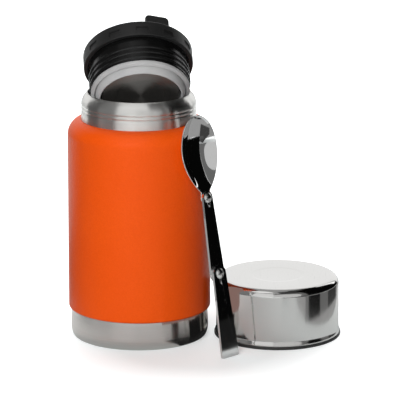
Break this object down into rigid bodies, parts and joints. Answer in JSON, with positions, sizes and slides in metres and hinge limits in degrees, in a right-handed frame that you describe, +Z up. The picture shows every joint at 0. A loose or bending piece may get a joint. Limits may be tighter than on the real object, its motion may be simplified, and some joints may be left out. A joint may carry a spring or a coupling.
{
  "type": "insulated food jar",
  "caption": "Double-walled food jar with a tilted screw stopper, a loose lid cup and a folding spoon leaning on it.",
  "frame": {"origin": "centre of the jar's base on the table", "axes": "+Z up along the jar's axis, +X towards the cup, -Y towards the viewer of the picture"},
  "size_m": [0.1864, 0.1143, 0.2225],
  "materials": {
    "orange_coat": "fine powder coat",
    "base_steel": "turned, brushed round",
    "neck_steel": "brushed round",
    "vessel_steel": "satin",
    "foil": "bright foil",
    "getter_metal": "sintered",
    "solder": "solid bead",
    "black_cap": "satin moulded",
    "black_plug": "satin moulded",
    "foam": "foamed",
    "silicone": "soft satin",
    "disc_steel": "turned, brushed round",
    "pin_steel": "drawn",
    "black_tab": "satin moulded",
    "polished_steel": "polished",
    "black_liner": "satin moulded",
    "spoon_steel": "mirror polished",
    "rivet_steel": "polished"
  },
  "bodies": {
    "jar": {"body_shell": "orange_coat", "base_cup": "base_steel", "neck_collar": "neck_steel", "inner_vessel": "vessel_steel", "reflector_foil": "foil", "getter": "getter_metal", "port_bead": "solder", "base_cover": "base_steel"},
    "stopper": {"stopper_cap": "black_cap", "stopper_core": "black_plug", "stopper_foam": "foam", "stopper_seal": "silicone", "stopper_disc": "disc_steel", "tab_pin": "pin_steel"},
    "finger_tab": {"lift_tab": "black_tab"},
    "cup": {"cup_shell": "polished_steel", "cup_liner": "black_liner"},
    "spoon_top": {"spoon_bowl": "spoon_steel", "upper_rivet": "rivet_steel"},
    "spoon_middle": {"spoon_link": "spoon_steel", "lower_rivet": "rivet_steel"},
    "spoon_foot": {"spoon_handle": "spoon_steel"}
  },
  "joints": [
    {"name": "stopper_lift", "type": "slide", "parent": "jar", "child": "stopper", "axis": [0, 0, 1], "range_m": [0, 0.09]},
    {"name": "tab_fold", "type": "hinge", "parent": "stopper", "child": "finger_tab", "pos_m": [0.01301, -0.00647, 0.21167], "axis": [-0.9374, -0.2754, 0.2132], "range_deg": [0, 88]},
    {"name": "cup_lift", "type": "slide", "parent": "jar", "child": "cup", "axis": [0, 0, 1], "range_m": [0, 0.08]},
    {"name": "spoon_lift", "type": "slide", "parent": "jar", "child": "spoon_top", "axis": [0.3597, -0.3473, 0.866], "range_m": [0, 0.12]},
    {"name": "link_fold", "type": "hinge", "parent": "spoon_top", "child": "spoon_middle", "pos_m": [0.04686, -0.04526, 0.10714], "axis": [-0.7071, 0.6828, -0.184], "range_deg": [0, 178]},
    {"name": "handle_fold", "type": "hinge", "parent": "spoon_middle", "child": "spoon_foot", "pos_m": [0.05427, -0.05241, 0.05647], "axis": [-0.7071, 0.6828, -0.184], "range_deg": [0, 165]}
  ]
}
